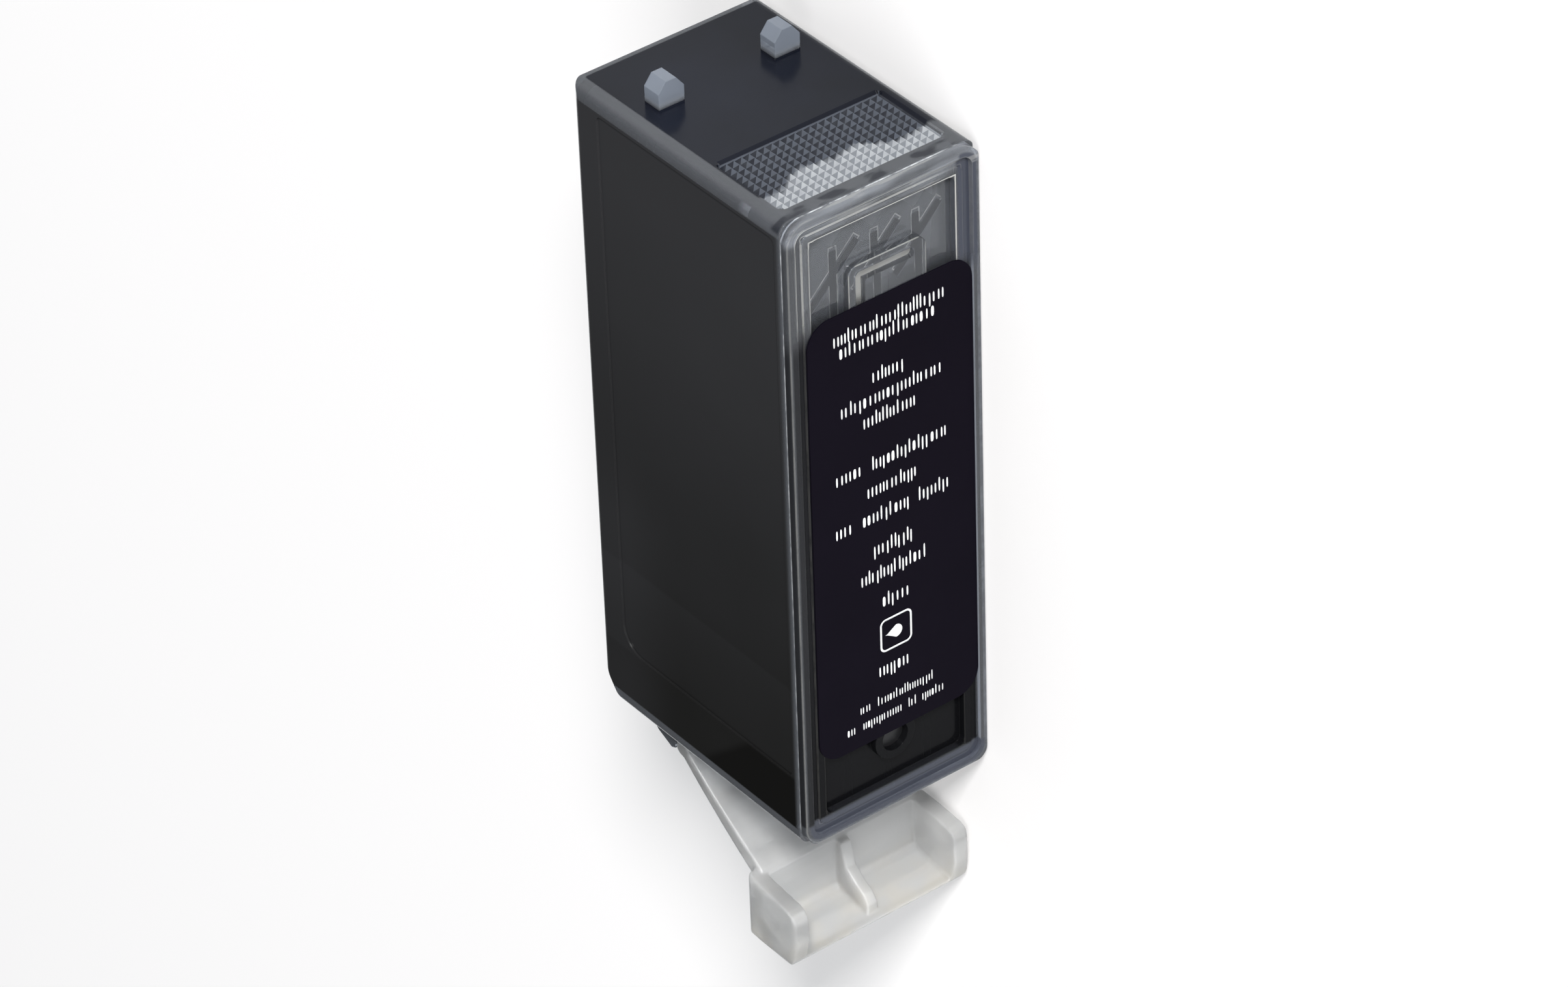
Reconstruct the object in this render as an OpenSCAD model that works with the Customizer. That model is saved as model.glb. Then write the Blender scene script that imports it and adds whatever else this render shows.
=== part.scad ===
// Inkjet ink tank: a thin-walled polypropylene case with a welded lid, a sprung latch lever,
// two fibre absorbers, a free-ink chamber, an outlet wick and a contact chip.
// It lies on one broad side. +X runs from the lever end to the rear end, the lid faces -Y,
// and the other broad side faces up.

/* [Tank] */
// Length of the tank, from its front face to its rear face
tank_l = 65.3; // [60:0.1:76]
// Width of the tank across its broad sides
tank_w = 20.5; // [18:0.1:26]
// Height of the tank, from the lid's face to the bottom face
tank_h = 29.6; // [28:0.2:34]
// Thickness of the case walls
wall = 1.2; // [1:0.1:1.4]
// Thickness of the rear wall, which carries the pyramid texture
rear_wall = 1.6; // [1.4:0.1:2.2]
// Radius of the edges round the broad sides
edge_r = 1.2; // [0.6:0.1:1.3]
// Run of the lower front chamfer along the length
chamfer_x = 3.8; // [3.4:0.1:4.4]
// Run of the lower front chamfer along the height
chamfer_y = 2.8; // [2.4:0.1:3.4]
// Distance from the front face to the partition
divider_x = 27.6; // [24:0.2:30]
// Thickness of the partition
divider_t = 1.2; // [0.8:0.1:1.6]
// Width of the ink passage under the partition
passage_w = 8; // [5:0.5:12]
// Height of the ink passage under the partition
passage_h = 4; // [2:0.5:6]
// Depth of the shallow panels on the broad sides
panel_depth = 0.15; // [0.1:0.05:0.3]
// Margin of those panels at the front
panel_front = 7.1; // [5:0.1:8]
// Margin of those panels at the bottom
panel_low = 3.6; // [3:0.1:5]
// Margin of those panels at the lid and the rear
panel_edge = 1.8; // [1.6:0.1:3]
// Radius of the panels' lower front corner
panel_r = 2.6; // [1:0.2:4]

/* [Rear face] */
// Pitch of the pyramids across the width
pyramid_pitch = 0.8; // [0.7:0.05:0.9]
// Pitch of the pyramids along the height
pyramid_row = 0.76; // [0.7:0.02:0.9]
// Number of pyramids across the width
pyramid_cols = 21; // [12:1:22]
// Number of pyramids along the height
pyramid_rows = 11; // [6:1:14]
// Distance from the lid's face to the first row
pyramid_y = 2.9; // [2.6:0.1:5]
// Distance between the centres of the two rear tabs
tab_pitch = 12.3; // [10:0.1:13]
// Width of a rear tab
tab_w = 2.7; // [2.4:0.1:3.4]
// Thickness of a rear tab along the height
tab_t = 2; // [1.4:0.1:2.4]
// Reach of a rear tab beyond the rear face
tab_reach = 2.7; // [2.5:0.1:4]
// Distance from the lid's face to the middle of the tabs
tab_y = 21.7; // [20:0.1:24]

/* [Outlet] */
// Distance from the front face to the axis of the ink outlet
port_x = 46.5; // [42:0.5:52]
// Radius of the bore that holds the wick
port_r = 4; // [3.4:0.1:4.4]
// Radius of the wider mouth, which takes the ink inlet of the printer
mouth_r = 4.6; // [4.6:0.1:5]
// Depth of that mouth
mouth_depth = 1.2; // [0.8:0.1:1.4]
// Thickness of the wall round the mouth
port_wall = 1.1; // [0.8:0.1:1.4]
// Height of the outlet above the bottom face
port_reach = 1.8; // [1.6:0.1:2.4]

/* [Lid] */
// Thickness of the lid's edge, above the weld
lid_edge = 0.9; // [0.8:0.1:1.3]
// Corner radius of the lid
lid_r = 2; // [1.4:0.1:2.6]
// Width of the lid's raised border
border_w = 0.9; // [0.7:0.1:1.2]
// Depth of the label's seat below the border
seat_depth = 0.3; // [0.2:0.05:0.4]
// Width of the shallow channel inside the border
channel_w = 0.85; // [0.6:0.05:1]
// Depth of that channel below the label's seat
channel_depth = 0.15; // [0.1:0.05:0.25]
// Inset of the sunk panel from the lid's edge
dish_inset = 2.5; // [2.3:0.05:3.4]
// Depth of the sunk panel below the border
dish_depth = 1; // [0.8:0.05:1.2]
// Thickness of the lid under the sunk panel
dish_floor = 1; // [0.8:0.1:1.2]
// Reach of the lid's skirt below its underside
skirt_reach = 0.6; // [0.4:0.1:1.4]
// Thickness of the lid's skirt
skirt_t = 1; // [0.8:0.1:1.4]
// Width of the air groove
groove_w = 1; // [0.7:0.1:1.2]
// Depth of the air groove
groove_depth = 0.5; // [0.3:0.1:0.6]
// Distance from the rear face to the air groove's end
groove_rear = 8.15; // [7:0.05:12]
// Distance of the air groove from the middle of the lid
groove_side = 2.5; // [1.5:0.1:4]
// Distance from the lid's face to the top of the absorbers
buffer_y = 5.8; // [5:0.2:8]
// Radius of the filling hole
fill_r = 1.4; // [1.2:0.1:2]
// Thickness of the collar round the filling hole
collar_t = 0.8; // [0.5:0.1:1]
// Distance from the front face to the filling hole
fill_x = 7.3; // [6.8:0.1:10]

/* [Label] */
// Thickness of the label
label_t = 0.12; // [0.1:0.02:0.2]
// Distance from the front face to the label
label_x = 8.2; // [7:0.1:10]
// Distance from the label to the rear face
label_rear = 10.9; // [9:0.1:14]
// Width of the label's seat that stays bare beside it
label_slack = 1; // [0.2:0.1:2]
// Corner radius of the label
label_r = 2.4; // [1:0.1:3]

/* [Lever] */
// Thickness of the lever's blade at its root
lever_t = 1.1; // [1:0.05:1.3]
// Thickness of the lever's blade at the thumb tab
lever_end_t = 1.8; // [1.2:0.05:2]
// Gap between the blade's edges and the broad sides
lever_inset = 1.5; // [1:0.1:2.5]
// Distance of the bending line in front of the tank
hinge_x = 1.75; // [1.6:0.05:2]
// Distance from the lid's face to the bending line
hinge_y = 20.2; // [19:0.1:21]
// Radius of the lever's round root
knuckle_r = 0.85; // [0.75:0.05:0.95]
// Clearance round the root
knuckle_gap = 0.05; // [0.03:0.01:0.1]
// Bow of the blade between its ends
blade_bow = 0.25; // [0.2:0.05:1]
// Reach of the thumb tab in front of the tank
thumb_reach = 16.5; // [15:0.1:18]
// Height of the thumb tab along the length of the tank
thumb_h = 7.2; // [6:0.1:8]
// Distance from the lid's face to the thumb tab
thumb_y = 2.6; // [2:0.1:4]
// Depth of the thumb tab
thumb_d = 7.2; // [6:0.1:7.6]
// Gap between the thumb tab's ends and the broad sides
thumb_inset = 0.3; // [0.2:0.05:1.2]
// Thickness of the thumb tab's end walls
thumb_wall = 1.7; // [1.2:0.1:2.2]
// Thickness of the thumb tab's back and base
thumb_floor = 1.25; // [1:0.05:1.5]
// Width of the gusset in the middle of the thumb tab
gusset_w = 1.2; // [0.8:0.1:3]

/* [Chip] */
// Length of the circuit board across the width
board_l = 11; // [9:0.2:14]
// Height of the circuit board along the chamfer
board_h = 3.8; // [3.4:0.1:4]
// Thickness of the circuit board
board_t = 0.6; // [0.4:0.05:0.8]
// Depth of the board's seat
board_seat = 0.45; // [0.3:0.05:0.6]
// Number of contact pads
pads = 4; // [3:1:5]
// Width of a contact pad
pad_w = 1.7; // [1.2:0.1:1.9]

/* [Fit] */
// Clearance between the inner pieces and the walls
fit_gap = 0.05; // [0.02:0.01:0.1]

/* [Hidden] */
$fn = 48;
cut = 0.5;                    // overshoot of a cutting shape
mid_z = tank_w / 2;
seam_y = lid_edge;            // the weld between lid and case
seam_r = 0.2;
floor_y = tank_h - wall;      // inner face of the bottom
cell_x = divider_x + divider_t;
cell_l = tank_l - rear_wall - cell_x;
split_y = (buffer_y + floor_y) / 2 + 1.5;
port_y = tank_h + port_reach;
ledge_y = port_y - mouth_depth;
tip_x = tank_l + tab_reach;
cell_r = 0.6;                 // corner radius of the absorber chamber
dish_y = dish_depth + dish_floor;
skirt_y = dish_y + skirt_reach;
wedge_back = 2.2;             // wall left behind the chamfer
chamfer_len = norm([chamfer_x, chamfer_y]);
chamfer_turn = atan2(chamfer_y, chamfer_x);
board_pitch = board_l - 1.4;  // distance between the two stakes
stake_r = 0.4;
potting = [3.2, 2.4, 0.5];
led = [1.6, 0.9, 0.5];
pad_t = 0.06;
blade_end = [-(thumb_reach - thumb_h + 0.2), thumb_y + thumb_d - thumb_floor / 2 + 0.2];
blade_start = [-hinge_x, hinge_y];
mid_x = (tip_x - thumb_reach) / 2;
mid_y = port_y / 2;

// Moves the tank's own coordinates, with the front face at x = 0 and the lid's face at y = 0, to the part's.
module place() { translate([-mid_x, -mid_y, 0]) children(); }

// Extrudes an outline drawn in X and Z along Y.
module along_y(from, to) {
    translate([0, to, 0]) rotate([90, 0, 0]) linear_extrude(to - from) children();
}

// Extrudes an outline drawn in Y and Z along X.
module along_x(from, to) {
    translate([from, 0, 0]) rotate([90, 0, 90]) linear_extrude(to - from) children();
}

// Extrudes an outline drawn in X and Y along Z.
module along_z(from, to) {
    translate([0, 0, from]) linear_extrude(to - from) children();
}

// The sliver that rounds off a corner at the origin.
module spandrel(r) {
    difference() {
        translate([-cut, -cut]) square(r + cut);
        translate([r, r]) circle(r);
        translate([-2 * cut, r]) square([cut, 2 * cut]);
    }
}

// A rectangle whose corners, counted from the origin, have the radii given.
module rounded(from, to, radii) {
    corners = [[from.x, from.y, 0, 0], [to.x, from.y, 1, 0], [to.x, to.y, 1, 1], [from.x, to.y, 0, 1]];
    difference() {
        translate(from) square(to - from);
        for (i = [0:3])
            if (radii[i] > 0)
                translate([corners[i][0], corners[i][1]])
                    mirror([corners[i][2], 0]) mirror([0, corners[i][3]])
                        spandrel(radii[i]);
    }
}

function all(r) = [r, r, r, r];

// Puts flat work on the chamfer: X along it, Y across the tank, Z out of the face.
module on_chamfer() {
    translate([chamfer_x / 2, tank_h - chamfer_y / 2, mid_z])
        rotate([0, 0, chamfer_turn]) rotate([-90, 0, 0]) children();
}

// Side view of the case.
module case_side() {
    polygon([[0, seam_y], [tank_l, seam_y], [tank_l, tank_h], [chamfer_x, tank_h], [0, tank_h - chamfer_y]]);
}

module case_block() {
    intersection() {
        along_z(0, tank_w) case_side();
        along_y(seam_y, tank_h) rounded([0, 0], [tank_l, tank_w], all(edge_r));
        along_x(0, tank_l) rounded([seam_y, 0], [tank_h, tank_w], [seam_r, edge_r, edge_r, seam_r]);
    }
}

// The free-ink chamber, taken in all round by a gap.
module reservoir(top, gap) {
    back = wedge_back * (1 + chamfer_len / chamfer_x) / 2 + gap;
    along_z(wall + gap, tank_w - wall - gap)
        polygon([[wall + gap, top], [divider_x - gap, top], [divider_x - gap, floor_y - gap],
            [chamfer_x + back, floor_y - gap], [wall + gap, tank_h - chamfer_y - back]]);
}

// The absorber chamber, between two levels.
module cell(from, to, gap) {
    along_y(from, to)
        rounded([cell_x + gap, wall + gap], [cell_x + cell_l - gap, tank_w - wall - gap], all(cell_r));
}

// A pair of 45 degree faces on the reservoir's floor, which shows the ink level to the printer.
prism_l = 6;
prism_w = 5;
prism_x = chamfer_x + 6;
module level_prism(gap) {
    half = prism_w / 2 + gap;
    along_x(prism_x - gap, prism_x + prism_l + gap)
        polygon([[floor_y, mid_z - half], [floor_y - half, mid_z], [floor_y, mid_z + half]]);
}

// V grooves both ways leave a field of pyramids.
module v_groove(pitch) {
    depth = pyramid_pitch / 2;
    half = pitch / 2;
    polygon([[0, -half], [cut, -half], [cut, half], [0, half], [-depth, 0]]);
}

module pyramid_field() {
    w = pyramid_cols * pyramid_pitch;
    h = pyramid_rows * pyramid_row;
    z0 = mid_z - w / 2;
    for (i = [0:pyramid_cols])
        along_y(pyramid_y, pyramid_y + h)
            translate([tank_l, z0 + i * pyramid_pitch]) v_groove(pyramid_pitch);
    for (i = [0:pyramid_rows])
        along_z(z0, z0 + w)
            translate([tank_l, pyramid_y + i * pyramid_row]) v_groove(pyramid_row);
}

// A rear tab: a plate with its two outer corners cut off.
module rear_tab(z) {
    straight = tab_reach * 0.62;
    corner = tab_w * 0.3;
    half_w = tab_w / 2;
    translate([tank_l, tab_y, z])
        along_y(-tab_t / 2, tab_t / 2)
            polygon([[-cut, -half_w], [straight, -half_w], [tab_reach, corner - half_w],
                [tab_reach, half_w - corner], [straight, half_w], [-cut, half_w]]);
}

// The block on the front face that the lever bends from, with a round seat for the lever's root
// and, below it, the pad that the lever stops against.
stop_y = hinge_y - 7.2;
stop_t = 0.9;
module lever_root() {
    along_z(lever_inset, tank_w - lever_inset)
        difference() {
            polygon([[cut, hinge_y + 4.8], [0, hinge_y + 4.8], [-1.5, hinge_y + 3.3], [-hinge_x - 0.6, hinge_y + 1.4],
                blade_start, [-stop_t, hinge_y - 1.4], [-stop_t, stop_y + 0.6], [0, stop_y], [cut, stop_y]]);
            translate(blade_start) circle(knuckle_r + knuckle_gap);
        }
}

module side_panel() {
    small_r = 0.6;
    rounded([panel_front, panel_edge], [tank_l - panel_edge, tank_h - panel_low], [small_r, small_r, small_r, panel_r]);
}

module port_at(from, to, r) {
    translate([port_x, to, mid_z]) rotate([90, 0, 0]) cylinder(h = to - from, r = r);
}

module chip_stakes(r, from, to) {
    for (s = [-1, 1])
        on_chamfer() translate([0, s * board_pitch / 2, from]) cylinder(h = to - from, r = r);
}

module tank_body() {
    color([0.30, 0.32, 0.36]) place() {
        difference() {
            union() {
                case_block();
                port_at(floor_y, port_y, mouth_r + port_wall);
                for (s = [-1, 1]) rear_tab(mid_z + s * tab_pitch / 2);
                lever_root();
            }
            difference() {
                reservoir(seam_y - cut, 0);
                level_prism(0);
            }
            cell(seam_y - cut, floor_y, 0);
            translate([divider_x - cut, seam_y - cut, wall])
                cube([divider_t + 2 * cut, dish_y - seam_y + cut, tank_w - 2 * wall]);
            translate([divider_x - cut, floor_y - passage_h, mid_z - passage_w / 2])
                cube([divider_t + 2 * cut, passage_h, passage_w]);
            translate([cell_x - 0.5, floor_y - passage_h - 10, mid_z - 0.75]) cube([1, 11, 1.5]);
            port_at(floor_y - cut, port_y, port_r);
            port_at(ledge_y, port_y + cut, mouth_r);
            pyramid_field();
            along_z(-cut, panel_depth) side_panel();
            along_z(tank_w - panel_depth, tank_w + cut) side_panel();
            on_chamfer() {
                translate([-board_h / 2 - fit_gap, -board_l / 2 - fit_gap, -board_seat])
                    cube([board_h + 2 * fit_gap, board_l + 2 * fit_gap, board_seat + cut]);
                translate([-potting.y / 2 - fit_gap, -potting.x / 2 - fit_gap, -board_seat - potting.z - fit_gap])
                    cube([potting.y + 2 * fit_gap, potting.x + 2 * fit_gap, potting.z + cut]);
            }
        }
        chip_stakes(stake_r, -board_seat - 0.2, board_t - board_seat + 0.25);
    }
}

// The air groove runs from its open end, round a corner and along the lid to the vent hole. It is
// cut in a raised land, which the label seals.
groove_y = seat_depth + groove_depth;
groove_open = [tank_l - groove_rear, mid_z - groove_side - 0.3];
groove_turn = [tank_l - groove_rear, mid_z + groove_side];
groove_low = [fill_x + 10, mid_z + groove_side];
groove_vent = [fill_x + 10, mid_z - groove_side - 0.3];
land_from = groove_vent - [1.5, 1.7];
land_to = groove_turn + [1.2, 1.2];
vent_r = 0.4;
module groove_run(a, b) {
    translate(a) circle(groove_w / 2);
    translate(b) circle(groove_w / 2);
    d = b - a;
    translate(a) rotate(atan2(d.y, d.x)) translate([0, -groove_w / 2]) square([norm(d), groove_w]);
}

module air_groove() {
    groove_run(groove_open, groove_turn);
    groove_run(groove_turn, groove_low);
    groove_run(groove_low, groove_vent);
}

// Ribs under the lid keep the absorbers clear of it.
rib_t = 0.8;
rib_pitch = 4.4;
rib_front = cell_x + 3;
rib_rear = cell_x + cell_l - 3.8;
brace_h = 1.6;
brace_front = cell_x + 8;
brace_rear = cell_x + cell_l - 6.2;
module long_ribs() {
    for (i = [-1:1])
        translate([rib_front, mid_z + i * rib_pitch - rib_t / 2]) square([rib_rear - rib_front, rib_t]);
}

// One brace square across the ribs, and three slanting ones at their rear ends.
module braces() {
    slant = 3.6;
    translate([brace_front - rib_t / 2, mid_z - rib_pitch]) square([rib_t, 2 * rib_pitch]);
    for (i = [-1:1])
        translate([brace_rear, mid_z + i * rib_pitch]) rotate(-45) translate([-slant, -rib_t / 2]) square([2 * slant, rib_t]);
}

module fill_at(from, to, r) {
    translate([fill_x, to, mid_z]) rotate([90, 0, 0]) cylinder(h = to - from, r = r);
}

// What stands up from the sunk panel to the label's level.
module raised_parts() {
    fill_at(seat_depth, dish_y, fill_r + collar_t);
    along_y(seat_depth, dish_y) rounded(land_from, land_to, all(1));
}

module lid_plan(inset, r) {
    rounded([inset, inset], [tank_l - inset, tank_w - inset], all(r));
}

// The mouths of the two chambers, taken in by an inset.
module mouth_plan(inset) {
    rounded([wall + inset, wall + inset], [divider_x - inset, tank_w - wall - inset], all(0));
    rounded([cell_x + inset, wall + inset], [cell_x + cell_l - inset, tank_w - wall - inset], all(cell_r));
}

module lid() {
    rim_r = 0.4;
    overlap = 0.1;
    seat_r = lid_r - 0.8;
    dish_r = 0.8;
    color([0.62, 0.65, 0.70]) place()
        difference() {
            union() {
                intersection() {
                    along_z(0, tank_w) rounded([0, 0], [tank_l, lid_edge], [rim_r, rim_r, seam_r, seam_r]);
                    along_y(0, lid_edge) lid_plan(0, lid_r);
                    along_x(0, tank_l) rounded([0, 0], [lid_edge, tank_w], [rim_r, seam_r, seam_r, rim_r]);
                }
                along_y(lid_edge - overlap, dish_y)
                    rounded([wall + fit_gap, wall + fit_gap],
                        [cell_x + cell_l - fit_gap, tank_w - wall - fit_gap], all(cell_r));
                along_y(dish_y - overlap, skirt_y)
                    difference() {
                        mouth_plan(fit_gap);
                        mouth_plan(fit_gap + skirt_t);
                    }
                along_y(dish_y - overlap, buffer_y - fit_gap) long_ribs();
                along_y(dish_y - overlap, dish_y + brace_h) braces();
            }
            along_y(-cut, seat_depth) lid_plan(border_w, seat_r);
            along_y(-cut, seat_depth + channel_depth)
                difference() {
                    lid_plan(border_w, seat_r);
                    lid_plan(border_w + channel_w, dish_r);
                }
            difference() {
                along_y(-cut, dish_depth) lid_plan(dish_inset, dish_r);
                raised_parts();
            }
            along_y(-cut, groove_y) air_groove();
            translate([groove_vent.x, dish_y + cut, groove_vent.y]) rotate([90, 0, 0])
                cylinder(h = dish_y, r = vent_r);
            fill_at(-cut, dish_y + cut, fill_r);
        }
}

module top_label() {
    low = border_w + fit_gap;
    high = tank_w - border_w - label_slack;
    color([0.08, 0.08, 0.10]) place()
        along_y(seat_depth - label_t, seat_depth)
            rounded([label_x, low], [tank_l - label_rear, high], all(label_r));
}

// Side view of the thumb tab, with its front edge swept back to the base.
module thumb_side() {
    x0 = -thumb_reach;
    x1 = x0 + thumb_h;
    y1 = thumb_y + thumb_d;
    polygon([[x1 + 0.4, y1], [x1 - 0.2, thumb_y + 1.1], [x1 - 0.5, thumb_y + 0.5], [x1 - 1.1, thumb_y + 0.1],
        [x0 + thumb_h / 2, thumb_y], [x0 + 1.6, thumb_y + 0.4], [x0 + 0.7, thumb_y + 1.1], [x0, thumb_y + 2.2],
        [x0 + 1, y1]]);
}

module thumb_hollow() {
    x0 = -thumb_reach + thumb_floor;
    y1 = thumb_y + thumb_d - thumb_floor;
    polygon([[x0 - 0.2, thumb_y - cut], [x0 + 0.7, y1 - 0.5], [x0 + 1.3, y1], [0, y1], [0, thumb_y - cut]]);
}

// The S-shaped gusset between the tab's back and its base.
module gusset_side() {
    x0 = -thumb_reach;
    y1 = thumb_y + thumb_d - thumb_floor / 2;
    polygon([[x0 + thumb_h + 0.2, y1], [x0 + thumb_h, y1 - 1.3], [x0 + 4.8, y1 - 2], [x0 + 3.8, y1 - 3.3],
        [x0 + 3.2, thumb_y + 2.2], [x0 + 2.4, thumb_y + 1.6], [x0 + thumb_floor / 2, thumb_y + 1.6],
        [x0 + thumb_floor / 2, y1]]);
}

// The blade, a bowed strip that thickens from the root to the thumb tab.
blade_steps = 10;
blade_chord = blade_end - blade_start;
blade_normal = [blade_chord.y, -blade_chord.x] / norm(blade_chord);
function blade_point(s, side) =
    blade_start + s * blade_chord
    + blade_normal * (4 * blade_bow * s * (1 - s) + side * (lever_t + s * (lever_end_t - lever_t)) / 2);

module blade_side() {
    polygon([for (i = [0:blade_steps]) blade_point(i / blade_steps, 1),
        for (i = [blade_steps:-1:0]) blade_point(i / blade_steps, -1)]);
}

module latch_lever() {
    color([0.86, 0.88, 0.90]) place() {
        along_z(lever_inset, tank_w - lever_inset) {
            blade_side();
            translate(blade_start) circle(knuckle_r);
        }
        difference() {
            intersection() {
                along_z(thumb_inset, tank_w - thumb_inset) thumb_side();
                along_y(thumb_y - cut, thumb_y + thumb_d)
                    rounded([-thumb_reach, thumb_inset], [-thumb_reach + thumb_h + 0.5, tank_w - thumb_inset],
                        [1.7, 0.9, 0.9, 1.7]);
                along_x(-thumb_reach - cut, 0)
                    rounded([thumb_y - 0.2, thumb_inset], [thumb_y + thumb_d, tank_w - thumb_inset], all(0.9));
            }
            along_z(thumb_inset + thumb_wall, tank_w - thumb_inset - thumb_wall) thumb_hollow();
        }
        along_z(mid_z - gusset_w / 2, mid_z + gusset_w / 2)
            intersection() {
                gusset_side();
                thumb_side();
            }
    }
}

module upper_absorber() {
    color([0.10, 0.10, 0.12]) place() cell(buffer_y, split_y - fit_gap, fit_gap);
}

module lower_absorber() {
    color([0.05, 0.05, 0.06]) place() cell(split_y, floor_y - fit_gap, fit_gap);
}

module outlet_wick() {
    color([0.12, 0.12, 0.13]) place() port_at(floor_y, ledge_y, port_r - fit_gap);
}

module ink_charge() {
    color([0.02, 0.02, 0.03]) place()
        difference() {
            reservoir(skirt_y + fit_gap, fit_gap);
            level_prism(fit_gap);
        }
}

// A plug pressed into the filling hole, with a narrower nose under the lid.
module fill_plug() {
    squeeze = 0.02;
    nose = 0.4;
    color([0.15, 0.15, 0.17]) place() {
        fill_at(dish_depth, dish_y, fill_r - squeeze);
        fill_at(dish_y - cut, dish_y + nose, fill_r - nose);
    }
}

module chip_board() {
    color([0.05, 0.30, 0.16]) place()
        difference() {
            on_chamfer() translate([-board_h / 2, -board_l / 2, -board_seat]) cube([board_h, board_l, board_t]);
            chip_stakes(stake_r + 0.05, -board_seat - cut, board_t);
        }
}

module chip_contacts() {
    pitch = (board_pitch - 1.4) / pads;
    color([0.83, 0.66, 0.28]) place()
        on_chamfer()
            for (i = [0:pads - 1])
                translate([-board_h / 2 + 0.3, (i - (pads - 1) / 2) * pitch - pad_w / 2, board_t - board_seat])
                    cube([board_h - led.y - 0.9, pad_w, pad_t]);
}

module chip_led() {
    color([0.95, 0.93, 0.80]) place()
        on_chamfer()
            translate([board_h / 2 - led.y - 0.2, -led.x / 2, board_t - board_seat]) cube([led.y, led.x, led.z]);
}

module chip_potting() {
    color([0.06, 0.06, 0.06]) place()
        on_chamfer()
            translate([-potting.y / 2, -potting.x / 2, -board_seat - potting.z]) cube([potting.y, potting.x, potting.z]);
}

tank_body();
lid();
top_label();
latch_lever();
upper_absorber();
lower_absorber();
outlet_wick();
ink_charge();
fill_plug();
chip_board();
chip_contacts();
chip_led();
chip_potting();
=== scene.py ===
"""Looks for an inkjet ink cartridge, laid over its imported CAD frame.

The case, the lid and the latch lever keep their CAD shapes and get see-through moulded plastic.
The fibre absorbers inside, the print on the label and the bead of the weld are made here.
"""

import math
import random

import bmesh
import bpy
from bpy.props import FloatProperty, FloatVectorProperty, IntProperty, PointerProperty
from mathutils import Matrix, Vector


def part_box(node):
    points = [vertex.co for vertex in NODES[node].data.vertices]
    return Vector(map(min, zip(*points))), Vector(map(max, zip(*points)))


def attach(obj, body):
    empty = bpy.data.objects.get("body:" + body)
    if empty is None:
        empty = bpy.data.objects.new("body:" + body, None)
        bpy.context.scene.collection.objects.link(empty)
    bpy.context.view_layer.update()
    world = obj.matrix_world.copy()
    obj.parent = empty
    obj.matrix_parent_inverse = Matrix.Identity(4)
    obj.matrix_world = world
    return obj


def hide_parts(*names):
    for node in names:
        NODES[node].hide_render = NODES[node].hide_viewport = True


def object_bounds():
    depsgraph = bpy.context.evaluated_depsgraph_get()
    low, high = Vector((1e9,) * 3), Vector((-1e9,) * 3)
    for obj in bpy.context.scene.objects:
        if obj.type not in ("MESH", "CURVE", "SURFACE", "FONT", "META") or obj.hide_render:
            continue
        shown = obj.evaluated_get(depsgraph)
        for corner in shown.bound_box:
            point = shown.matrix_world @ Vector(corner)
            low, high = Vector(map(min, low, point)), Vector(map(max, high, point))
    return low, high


bl_info = {
    "name": "Ink Tank Looks",
    "version": (1, 0, 0),
    "blender": (4, 5, 0),
    "location": "View3D > Sidebar > Ink Tank",
    "description": "Plastics, fibre, label print and a studio for an inkjet ink cartridge",
    "category": "Object",
}

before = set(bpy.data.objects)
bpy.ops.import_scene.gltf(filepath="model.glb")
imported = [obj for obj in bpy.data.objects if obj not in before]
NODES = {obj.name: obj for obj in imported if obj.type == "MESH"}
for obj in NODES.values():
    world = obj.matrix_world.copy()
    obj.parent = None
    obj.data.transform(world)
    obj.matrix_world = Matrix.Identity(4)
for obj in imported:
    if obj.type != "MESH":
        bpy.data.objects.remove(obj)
CAD_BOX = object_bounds()

MM = 0.001
# The tank's own corner, where its front face, its lid's face and the broad side below meet.
CASE_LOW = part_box("lid")[0]
LABEL_LOW, LABEL_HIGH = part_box("top_label")
TANK_L = (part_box("lid")[1].x - CASE_LOW.x) / MM
TANK_W = (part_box("lid")[1].z - CASE_LOW.z) / MM
TANK_H = (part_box("ink_charge")[1].y - CASE_LOW.y) / MM + 1.25
LABEL_REAR_X = (LABEL_HIGH.x - CASE_LOW.x) / MM
# The field of pyramids on the rear face.
PYRAMID_Y, PYRAMID_H = 2.9, 8.36
PYRAMID_Z = TANK_W / 2 - 8.4
# The lid's edge above the weld, its corner radius, and the runs of its air groove.
LID_EDGE, LID_R = 0.9, 2.0
GROOVE_X, GROOVE_Z = TANK_L - 8.15, (TANK_W / 2 - 2.8, TANK_W / 2 + 2.5)
# The raised land round the groove, the depth of the label's seat, and the sunk panel's inset and underside.
LAND_X, LAND_Z = GROOVE_X + 1.2, (GROOVE_Z[0] - 1.7, GROOVE_Z[1] + 1.2)
SEAT_Y, DISH_INSET, LID_UNDER = 0.3, 2.5, 2.0
# The ribs under the lid: their rear ends, distance apart and half width, and the middle and half length of the
# slanting braces.
RIB_REAR, RIB_PITCH, RIB_HALF = TANK_L - 5.0, 4.4, 0.4
BRACE_X, BRACE_HALF = TANK_L - 7.4, 3.6
SEED = 7


def tank(x, y, z):
    """A point given in millimetres from the tank's own corner, in the row frame."""
    return Vector((CASE_LOW.x + x * MM, CASE_LOW.y + y * MM, CASE_LOW.z + z * MM))


# Nodes as Python


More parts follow.
